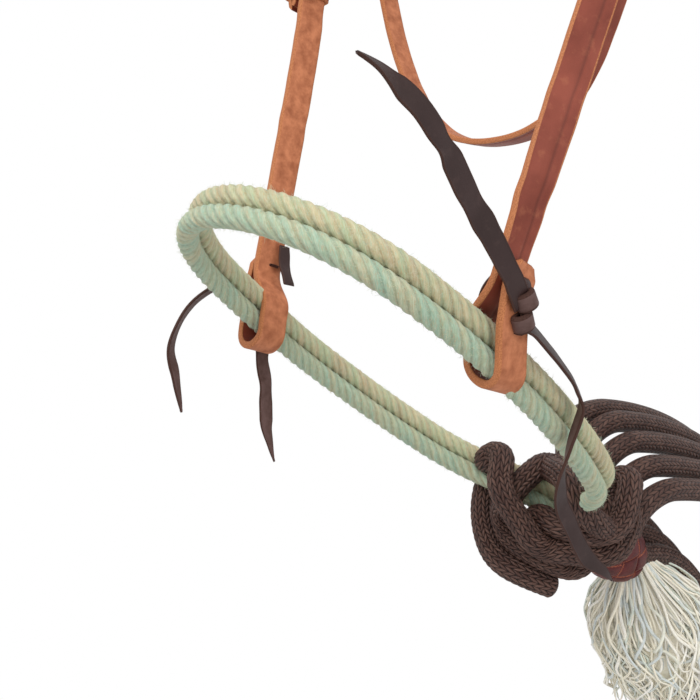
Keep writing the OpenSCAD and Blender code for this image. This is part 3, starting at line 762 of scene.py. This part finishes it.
lace("upper_tail_right", -1,
     [(13.4, 2, 20), (13, -8, 22), (12, -20, 19), (10, -33, 12), (10, -43, 3), (10, -51, -12), (10, -53, -26),
      (10, -49, -36), (10, -44, -48), (10, -41, -56)],
     [(1, 0, 0), (1, 0, 0.2), (0.8, 0, 0.6), (0.5, -0.4, 0.7), (0.5, -0.6, 0.5), (0.6, -0.8, 0), (0.8, -0.6, 0),
      (0.9, -0.5, 0), (1, -0.3, 0), (1, 0, 0)],
     8, ["lace_upper_tail_right"])
lace("lower_tail_right", -1,
     [(13.2, 4, 14), (13, 3, 6), (12, 3, -6), (11, 6, -25), (10, 10, -41), (10, 13, -57), (10, 21, -73)],
     [(1, 0.3, 0), (1, 0.2, 0), (1, 0.2, 0), (1, 0.1, 0), (1, 0, 0), (1, 0.1, 0), (1, 0.2, 0)],
     8, ["lace_lower_tail_right"])


# ---------------------------------------------------------------- crown, browband, throatlatch, keepers
def cut_holes(ob, places, radius, aim):
    """Punches round holes through a strap at the given points, in millimetres."""
    for at, axis in zip(places, aim):
        at = Vector(at) * 0.001
        bpy.ops.mesh.primitive_cylinder_add(vertices=20, radius=radius * 0.001, depth=0.012, location=at)
        cutter = bpy.context.object
        cutter.rotation_mode = "QUATERNION"
        cutter.rotation_quaternion = Vector(axis).to_track_quat("Z", "Y")
        bpy.context.view_layer.update()
        modifier = ob.modifiers.new("hole", "BOOLEAN")
        modifier.operation, modifier.object, modifier.solver = "DIFFERENCE", cutter, "EXACT"
        mesh = bpy.data.meshes.new_from_object(ob.evaluated_get(bpy.context.evaluated_depsgraph_get()))
        ob.modifiers.clear()
        ob.data = mesh
        bpy.data.objects.remove(cutter)


BILLET_X = BILLET_IN + LIGHT_T / 2


def crown():
    """The arch over the poll, its legs, and a billet that follows each cheek."""
    def half(side):
        """One billet and one leg, from the top of the cheek upwards."""
        billet = cheek(side, [[BILLET_X, 0, z] for z in (187, 200, 215, 235, 250)])
        leg = headstall([[side * ARCH_R, 0, z] for z in (-60, -45, -25, -8)])
        return billet, leg
    (b1, l1), (b0, l0) = half(1), half(-1)
    a = arc([0, -CROWN_R], ARCH_R, 2, 178, 36)
    top = np.c_[a[:, 0], 0 * a[:, 0], a[:, 1]]
    p = curve(np.concatenate([b1, l1, top, l0[::-1], b0[::-1]]), 1.6)
    height = np.clip((p[:, 2] + CROWN_R + 6) / 12, 0, 1)
    lean = math.radians(CHEEK_LEAN)
    wide = np.c_[0 * height, math.cos(lean) * (1 - height) + height, -math.sin(lean) * (1 - height)]
    angle = np.degrees(np.arctan2(p[:, 2] + CROWN_R, np.abs(p[:, 0])))
    w = CHEEK_W + 9 * np.clip((angle - 28) / 14, 0, 1) ** 1.5 * (p[:, 2] > -CROWN_R)
    ob = piece("crown", STRAP, "headstall", "strap_leather", ["crown_strap"])
    strap(ob, p, wide, w, LIGHT_T, 0.9, crease=3.4, ends=7, wobble=0.1)
    places = [cheek(side, [BILLET_X, 0, BUCKLE_UP + 8 - 17 * i]) for side in (1, -1) for i in (1, 2)]
    places += [cheek(side, [BILLET_X, 0, BUCKLE_UP + z]) for side in (1, -1) for z in (6, 9, 12)]
    axes = [cheek(side, [1, 0, 0]) - cheek(side, [0, 0, 0]) for n in (2, 3) for side in (1, -1) for i in range(n)]
    cut_holes(ob, places, 2.1, axes)
    settle(ob)


crown()


def browband():
    """A band that bows out in front, and the loop round the crown at each end of it."""
    brow_y = -(CHEEK_W / 2 + 0.3 + BROW_T / 2)
    a = np.radians(np.arange(-2, 183, 4).clip(0, 180))
    flat = np.c_[ARCH_R * np.cos(a), brow_y - 78 * np.sin(a) ** 0.8]
    p = curve(np.c_[flat, 0 * a - BROW_BELOW][1:-1], 1.6)
    ob = piece("browband", STRAP, "headstall", "strap_leather", ["browband"])
    strap(ob, p, Z, BROW_W, BROW_T, 0.8, crease=3.0, ends=0, to=headstall)
    settle(ob)
    for side in (1, -1):
        loop = rounded_loop(LIGHT_T + 0.6 + BROW_T, CHEEK_W + 0.6 + BROW_T, 2.2)
        p = np.c_[loop[:, 0] + side * ARCH_R, loop[:, 1], 0 * loop[:, 0] - BROW_BELOW]
        ob = piece("brow_loop_" + ("left" if side > 0 else "right"), STRAP, "headstall", "strap_leather")
        strap(ob, p, Z, BROW_W, BROW_T, 0.8, closed=True, to=headstall)
        settle(ob)


def rounded_loop(width, height, r):
    """A closed rounded rectangle, in the middle of a band's thickness."""
    w, h = width / 2 - r, height / 2 - r
    corners = ([w, h], [-w, h], [-w, -h], [w, -h])
    loop = np.concatenate([arc(c, r, 90 * i, 90 * i + 90, 6) for i, c in enumerate(corners)])
    return even(np.concatenate([loop, loop[:1]]), 0.9)[:-1]


browband()

T_TOP, T_ARCH, T_SIDE, T_TILT = 136.6, -130.85, -166.85, 30.157
T_STEP, T_SHIFT = 3.25, 10.0
BAR_GAP, BAND_GAP = 1.5 + 0.15, 0.3
BILLET_T = BAR_GAP + LIGHT_T + BAND_GAP + LIGHT_T / 2


def throat_at(s, d):
    """A point of the throatlatch plane, s down the side strap and d inwards from it."""
    c, q = math.cos(math.radians(T_TILT)), math.sin(math.radians(T_TILT))
    return np.array([T_TOP, T_SIDE]) + s * np.array([-q, -c]) + d * np.array([-c, q])


THROAT_BAR = throat_at(54, T_SHIFT - T_STEP)


def throat_frame(p):
    """From the throatlatch buckle's frame, with its bar at the origin."""
    q = np.asarray(p, float) @ turn(1, T_TILT).T + [THROAT_BAR[0], THROAT_Y, THROAT_BAR[1]]
    return throat(q)


def throat_side(inset=0.0):
    """One side of the throatlatch from its shoulder to the lowest bend, moved inwards."""
    p = curve([(T_TOP, T_SIDE), throat_at(30, 0), throat_at(58, 0), (97.5, -239), (89, -262),
               (78, -286), (60, -313), (33, -333), (10, -338.5), (0, -339)], 1.4)
    t = headings(p)
    return p + inset * np.stack([t[:, 1], -t[:, 0]], 1)


def throatlatch():
    """One strap: down the left side, over the crown, round the throat, up inside the left
    side and back over the buckle's bar."""
    c, q = math.cos(math.radians(T_TILT)), math.sin(math.radians(T_TILT))
    a = np.radians(np.arange(0, 181, 20))
    fold = THROAT_BAR + T_STEP * np.stack([-np.cos(a) * c + np.sin(a) * q, np.cos(a) * q + np.sin(a) * c], 1)
    side, inner = throat_side(), throat_side(T_SHIFT)
    far = side[::8] * [-1, 1]
    s = lengths(side)
    k = ease((s - 112) / 90)[:, None]
    back = (inner * (1 - k) + side * k)[s > 62][::-8]
    over = [[[T_TOP - 0.1, T_SIDE + 8]], arc([0, T_ARCH], T_TOP, 0, 180, 40), [[-T_TOP + 0.1, T_SIDE + 8]]]
    tail = [throat_at(z, T_SHIFT - 2 * T_STEP) for z in (62, 74, 84)]
    p = curve(np.concatenate([side[(s < 118)][::-8], *over, far[1:], back[1:], fold, tail]), 1.4)
    p = np.c_[p[:, 0], np.full(len(p), THROAT_Y), p[:, 1]]
    ob = piece("throatlatch", STRAP, "throatlatch", "strap_leather", ["throatlatch_strap"])
    strap(ob, p, -Y, THROAT_W, LIGHT_T, 0.9, crease=2.8, ends=5, to=throat)
    places = [throat_frame([BILLET_T, 0, z]) for z in (5, 8, 11)]
    places += [throat([side[i][0], THROAT_Y, side[i][1]]) for i in (62, 74)]
    cut_holes(ob, places, 1.9, [throat_frame([1, 0, 0]) - throat_frame([0, 0, 0])] * 5)
    settle(ob)


throatlatch()


def keeper(name, body, to, width, x0, x1, z):
    """A band round the straps that lie between x0 and x1, at height z."""
    loop = rounded_loop(x1 - x0 + 0.6 + 2, width + 0.6 + 2, 1.8)
    p = np.c_[loop[:, 0] + (x0 + x1) / 2, loop[:, 1], 0 * loop[:, 0] + z]
    ob = piece(name, STRAP, body, "strap_leather", [name.replace("band", "keeper")])
    strap(ob, p, Z, 10.0, 2.0, 0.6, closed=True, crease=2.4, to=to)
    settle(ob)


for side, tag in ((1, "left"), (-1, "right")):
    keeper("cheek_band_" + tag, "cheek_keeper_" + tag, on_cheek(side), CHEEK_W,
           STRAP_X - 2, BILLET_IN + LIGHT_T, BUCKLE_UP - 30)
keeper("throat_band", "throat_keeper", throat_frame, THROAT_W, -1.5 - LIGHT_T, BILLET_T + LIGHT_T / 2, -22)

# ---------------------------------------------------------------- heel knot
def heel_knot():
    """A plait over a bulging body: n slanted strands each way, over and under in turn. A
    strand stands highest in its middle and dips where it goes under."""
    rows, count, n = 120, 160, 6
    s = np.linspace(0, 50, rows)
    phi = 2 * math.pi * np.arange(count) / count
    body = BUNDLE_R + 1.0 + 5.6 * np.sin(math.pi * s / 50) ** 0.7
    a = (n * phi[None] / (2 * math.pi) + s[:, None] / 17.0)
    b = (n * phi[None] / (2 * math.pi) - s[:, None] / 17.0)
    ia, ib = np.floor(a), np.floor(b)
    fa, fb = a - ia, b - ib
    over = (ia + ib) % 2 == 0
    edge_a, edge_b = np.abs(fa - 0.5) * 2, np.abs(fb - 0.5) * 2
    own = np.where(over, edge_a, edge_b)
    cross = np.where(over, edge_b, edge_a)
    h = 1.3 * (1 - own ** 5) * (1 - 0.35 * cross ** 3)
    r = body[:, None] + h
    ends = np.concatenate([np.linspace(0.86, 1, 5), np.ones(rows - 10), np.linspace(1, 0.86, 5)])
    r = r * ends[:, None]
    rings = np.stack([r * np.cos(phi), np.broadcast_to((HEEL_START - 5 + s)[:, None], r.shape), r * np.sin(phi)], -1)
    ob = piece("heel_plait", PLAIT, "noseband", "plaited_leather", ["heel_knot"])
    # groove marks where a strand dips under its neighbour, for the finish's painted shade.
    sweep(ob, rings, s * 0.001, np.linspace(0, 0.1, count + 1), to=noseband,
          edge=np.where((own > 0.80) & (own < 0.93), 1.0, 0.0).ravel(),
          groove=np.clip((own - 0.9) / 0.1, 0, 1).ravel())
    settle(ob)


heel_knot()

# ---------------------------------------------------------------- tassel
TASSEL_AT, TASSEL_DROP = HEEL_END + 0.3 + 12.0625, 60


def tassel_frame(p):
    """From the tassel's frame: z points down along it from its neck."""
    q = np.asarray(p, float) @ turn(0, -90).T
    return noseband(q @ turn(0, NOSEBAND_TILT - TASSEL_DROP).T + [0, TASSEL_AT, 0])


def tassel(count=560, rows=30):
    """Loose fibres that spread from the neck and wave, round a core that fills the gaps."""
    verts, faces, tint, uv = [], [], [], []
    sides = 4
    j, k = np.meshgrid(np.arange(rows - 1), np.arange(sides), indexing="ij")
    l = (k + 1) % sides
    quads = np.stack([j * sides + k, j * sides + l, (j + 1) * sides + l, (j + 1) * sides + k], -1).reshape(-1, 4)
    for i in range(count):
        g = rng.uniform(0, 2 * math.pi)
        share = math.sqrt(rng.uniform(0.02, 1.0))
        end = rng.uniform(72, 112) * (1 - 0.12 * share)
        s = np.linspace(0, 1, rows)
        spread = share * (11 + 29 * np.sin(np.clip(s * 1.9, 0, 1) * math.pi / 2) ** 1.2 - 10 * np.clip(s - 0.6, 0, 1))
        wave = rng.uniform(0.6, 3.0) * np.clip(s * 3, 0, 1)
        beat, start = rng.uniform(2.5, 8.0), rng.uniform(0, 6.3)
        g2 = g + 0.25 * np.sin(beat * s * 2 + start) * s
        x = spread * np.cos(g2) + wave * np.sin(beat * s * 4 + start)
        y = spread * np.sin(g2) + wave * np.cos(beat * s * 3.4 + start)
        z = -8 + (end + 8) * s + wave * 0.6 * np.sin(beat * s * 5)
        p = np.stack([x, y, z], 1)
        t = headings(p)
        a = unit(np.cross(t, unit([math.sin(g), -math.cos(g), 0.3])))
        b = np.cross(t, a)
        r = rng.uniform(0.45, 1.05) * np.sqrt(np.clip(1.05 - s ** 6, 0.05, 1))
        phi = 2 * math.pi * np.arange(sides) / sides
        faces.append(i * rows * sides + quads)
        corners = (j, k * 0.2 + i), (j, k * 0.2 + 0.2 + i), (j + 1, k * 0.2 + 0.2 + i), (j + 1, k * 0.2 + i)
        uv.append(np.stack([np.stack([z[row] * 0.001, v], -1) for row, v in corners], -2).reshape(-1, 2))
        verts.append(around(p, a, b, r[:, None], phi))
        tint.append(np.full(rows * sides, rng.uniform()))
    ob = piece("tassel_yarn", YARN, "tassel", "rope_fibre", ["tassel"])
    fill(ob, tassel_frame(np.concatenate(verts).reshape(-1, 3)), np.concatenate(faces), np.concatenate(uv),
         tint=np.concatenate(tint))
    settle(ob)
    s = np.linspace(0, 1, 30)
    r = 9 + 24 * np.sin(np.clip(s * 1.9, 0, 1) * math.pi / 2) ** 1.2 * (1 - np.clip((s - 0.7) / 0.3, 0, 1) ** 2)
    phi = 2 * math.pi * np.arange(40) / 40
    down = np.broadcast_to((-8 + 92 * s)[:, None], (30, 40))
    rings = np.stack([r[:, None] * np.cos(phi), r[:, None] * np.sin(phi), down], -1)
    core = piece("tassel_core", YARN, "tassel", "rope_fibre")
    sweep(core, rings, s * 0.1, np.linspace(0, 1, 41), to=tassel_frame, tint=np.full(1200, 0.4))
    settle(core)


tassel()


# ---------------------------------------------------------------- braided rope: wraps and reins
def braided(name, p, ref, step, count, relief, body="noseband", nodes=(), to=None):
    """A braided rope along p, its stitches in relief, with a rounded cut at both ends."""
    p = even(p, step)
    s = lengths(p)
    near = np.minimum(s, s[-1] - s)
    r = REIN_R * np.sqrt(np.clip(1 - (1 - np.clip(near / 4, 0, 1)) ** 2, 0.01, 1)) - 0.35
    t = headings(p)
    a = unit(np.cross(np.broadcast_to(ref, p.shape), t))
    b = np.cross(t, a)
    turn_at = np.arange(count) / count
    phi = 2 * math.pi * turn_at
    full = r[:, None] + relief * stitch_height(s[:, None], turn_at[None]) * np.clip(near / 4, 0, 1)[:, None]
    ob = piece(name, BRAID, body, "brown_rope", nodes)
    sweep(ob, around(p, a, b, full, phi), s * 0.001, np.linspace(0, 1, count + 1), to=to)
    return ob, p


def noseband_lines():
    """The middles of the four rope parts, for other pieces to stay clear of."""
    flat = whole_loop(3.0)
    return np.concatenate([np.c_[flat, np.full(len(flat), h)] for h in (RUN_OFF, -RUN_OFF)])


def tighten(p, step, ends, rounds=500):
    """Pulls a rough route of the braided rope into a knot that lies on itself: points keep
    their spacing, bend softly, stay a rope's width from the rest and outside the ropes."""
    p = even(p, step)
    home, n = p.copy(), len(p)
    lines = noseband_lines()
    lines = lines[lines[:, 1] > 90]
    heel = np.array([[0, 222.0, 0], [0, 234, 0], [0, 246, 0]])
    i, j = np.triu_indices(n, 6)
    for k in range(rounds):
        p[1:-1] += 0.22 * ((p[2:] + p[:-2]) / 2 - p[1:-1])
        p += 0.035 * (home - p) * (1 - k / rounds)
        for _ in range(2):
            d = np.diff(p, axis=0)
            over = (1 - step / np.linalg.norm(d, axis=1))[:, None] * d * 0.35
            p[:-1] += over
            p[1:] -= over
        for targets, reach in ((lines, ROPE_R + REIN_R - 0.2), (heel, 27.0)):
            d = p[:, None] - targets[None]
            far = np.linalg.norm(d, axis=2)
            push = np.clip(reach - far, 0, 3)[..., None] * d / np.maximum(far, 0.1)[..., None]
            p += push.sum(1) / np.maximum((far < reach).sum(1), 1)[:, None] * 0.6
        d = p[i] - p[j]
        far = np.linalg.norm(d, axis=1)
        push = (np.clip(2 * REIN_R - 0.6 - far, 0, 3) * 0.28 / np.maximum(far, 0.1))[:, None] * d
        np.add.at(p, i, push)
        np.add.at(p, j, -push)
        for at, value in ends:
            p[at] = value
    return p


def wrap_route():
    """The short cut end, two turns at the lower left, the sweep over the left side, the
    turn round the back, and the ring in front of the near ropes."""
    return curve([
        (4, 203, -43), (-4, 188, -46), (-14, 178, -46), (-28, 177, -39), (-40, 173, -28), (-43, 165, -16),
        (-38, 155, -1), (-26, 144, 11), (-17, 140, -4), (-10, 143, -15), (-1, 151, -23), (7, 164, -27),
        (14, 177, -26), (20, 191, -23), (25, 205, -13), (22, 214, 4), (13, 214, 20), (0, 206, 28),
        (-10, 194, 27), (-13, 178, 20), (-14, 166, 9), (-21, 163, -4), (-29, 170, -15), (-27, 175, -27),
        (-15, 177, -34), (-2, 180, -33), (9, 190, -31), (14, 206, -24), (12, 213, -10), (10, 214, 12),
        (14, 204, 28), (24, 196, 27), (32, 194, 15), (34, 196, 3), (32, 192, -9), (24, 180, -15),
        (13, 170, -11), (-2, 171, -6), (-13, 179, -10), (-18, 190, -18), (-20, 200, -15), WRAP_CUT], 2.0)


route = tighten(wrap_route(), 2.6, [(-1, WRAP_CUT), (-2, (-19.9, 206.2, -4.4))])
# An extra turn of braided rope that no part of the model holds: a dark piece that stands for the shade in a hollow of
# the wraps.
shade_filler_turn = [(-23.4, 174.6, 12.2), (-10.3, 168.6, 14.2), (8.7, 156.7, 8.9), (25.2, 149.2, 1.9), (32.5, 150.3, -4.6),
              (34.6, 160.4, -8.1), (33.6, 177, -8), (27.8, 201.1, -3.7)]
for name, line, nodes in (("wraps", route[::2], ["rein_wraps"]), ("wraps_shade_filler", shade_filler_turn, [])):
    settle(braided(name, curve(line, 1.0), (0.3, 1, 0.2), 0.85, 96, 1.0, nodes=nodes, to=noseband)[0])


def squarish(a0, a1, n, power):
    """A quarter turn that stays high for longer than a circle's."""
    return np.clip(arc([0, 0], 1, a0, a1, n), 0, 1) ** [1.0, power]


def rein_path():
    """The free rope: up from the wraps, four loops gathered behind the heel, then the tail."""
    lead = [(-20.3, 136.2, -544.4), (-21.3, 140.1, -539.3), (-23, 146, -530), (-27, 151, -519), (-32, 155, -508),
            (-37, 160, -498), (-40, 167, -489), (-40, 180, -482.5)]
    tops, unders = (-480, -486, -497, -510, -522), (-536, -546, -556, -566)
    out = [curve(lead + [(-40, 195.7, -480)], 1.5)]
    for i in range(4):
        x, d = -40 + 15 * i, 6 * i
        over = squarish(90, 0, 90, 0.6) * [198, tops[i] + 690 + d] + [196, -690 - d]
        under = squarish(0, 90, 60, 0.8) * [114, unders[i] + 760 + d] + [196, -760 - d]
        flat = np.concatenate([over, arc([352, -930 - d], 42, 0, -180, 50), under])
        out.append(np.c_[np.full(len(flat), x), flat])
        mid = (tops[i + 1] + unders[i]) / 2
        half = (tops[i + 1] - unders[i]) / 2
        fold = arc([0, 0], 1, 270, 90, 36) * [29, half]
        k = ease(np.linspace(0, 1, len(fold)))
        step = 15.0 if i < 3 else 15.5
        out.append(np.c_[x + step * k, 196 + fold[:, 0], mid + fold[:, 1]])
    flat = squarish(90, 0, 80, 0.6) * [198, tops[4] + 714] + [196, -714]
    out.append(np.c_[np.full(len(flat), 20.5), flat])
    out.append([[20.5, 394, -800]])
    return even(np.concatenate(out), 2.6)


reins, path = braided("reins", rein_path(), X, 2.6, 28, 0.0, nodes=["rein_lead", "rein_hank", "rein_tail"])
settle(reins)


def hank_tie():
    """Two closed turns of lace round the gathered loops, one waving a little."""
    loop = rounded_loop(60.6 + 2, 99.6 + 2, 6)
    parts = []
    for i, z in enumerate((-862.5, -858)):
        p = np.c_[loop[:, 0] - 17.5, loop[:, 1] + 352, z + 0.8 * np.sin(np.arange(len(loop)) / 11 + i)]
        ob = piece("tie_turn_%d" % i, LACE, "noseband", "dark_lace", ["hank_tie"] if i == 0 else [])
        strap(ob, p, Z, 4.6, 1.8, 0.7, closed=True)
        parts.append(settle(ob))
    return parts


ties = hank_tie()

# ---------------------------------------------------------------- metal
for n in ("cheek_buckle_left", "cheek_buckle_right", "cheek_tongue_left", "cheek_tongue_right",
          "throat_buckle", "throat_tongue"):
    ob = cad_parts[n]
    ob.data.materials.clear()
    ob.data.materials.append(STEEL)
    for polygon in ob.data.polygons:
        polygon.use_smooth = True

# ---------------------------------------------------------------- camera and light
def camera():
    """Stands off the noseband's hinge, turned round z, then raised, then rolled."""
    hinge = noseband([0, 0, 0]) * 0.001
    a, e, r = map(math.radians, (51.67, 1.17, 5.60))
    back = np.array([math.sin(a) * math.cos(e), -math.cos(a) * math.cos(e), math.sin(e)])
    right = np.array([math.cos(a), math.sin(a), 0])
    up = np.cross(back, right)
    right, up = math.cos(r) * right + math.sin(r) * up, -math.sin(r) * right + math.cos(r) * up
    data = bpy.data.cameras.new("camera")
    data.lens, data.sensor_width, data.clip_start = 51.43, 36, 0.01
    ob = bpy.data.objects.new("camera", data)
    bpy.context.scene.collection.objects.link(ob)
    m = np.eye(4)
    m[:3, 0], m[:3, 1], m[:3, 2], m[:3, 3] = right, up, back, hinge + [0.373, -0.302, 0.0002]
    ob.matrix_world = Matrix(m.tolist())
    bpy.context.scene.camera = ob
    return back, right, up, hinge


back, right, up, hinge = camera()


def area(name, at, size, power):
    """A square light aimed at the hinge."""
    data = bpy.data.lights.new(name, "AREA")
    data.size, data.energy = size, power
    ob = bpy.data.objects.new(name, data)
    bpy.context.scene.collection.objects.link(ob)
    ob.location = at
    ob.rotation_euler = (Vector(hinge) - Vector(at)).to_track_quat("-Z", "Y").to_euler()


area("key", hinge + back * 0.9 + up * 1.1 - right * 0.5, 0.9, 14)
area("fill", hinge + back * 1.2 + right * 0.9 + up * 0.1, 1.2, 5)

world = bpy.data.worlds.new("world")
bpy.context.scene.world = world
world.use_nodes = True
t = world.node_tree
t.nodes.clear()
ray = node(t, "LightPath")
seen = calc(t, "MAXIMUM", ray.outputs["Is Camera Ray"], ray.outputs["Is Transmission Ray"])
shade = node(t, "Background", {0: (1, 1, 1, 1), 1: 0.78})
white = node(t, "Background", {0: (1, 1, 1, 1), 1: 1.0})
out = node(t, "OutputWorld")
both = node(t, "MixShader", {0: seen, 1: shade.outputs[0], 2: white.outputs[0]})
t.links.new(both.outputs[0], out.inputs[0])
bpy.context.scene.view_settings.view_transform = "Standard"
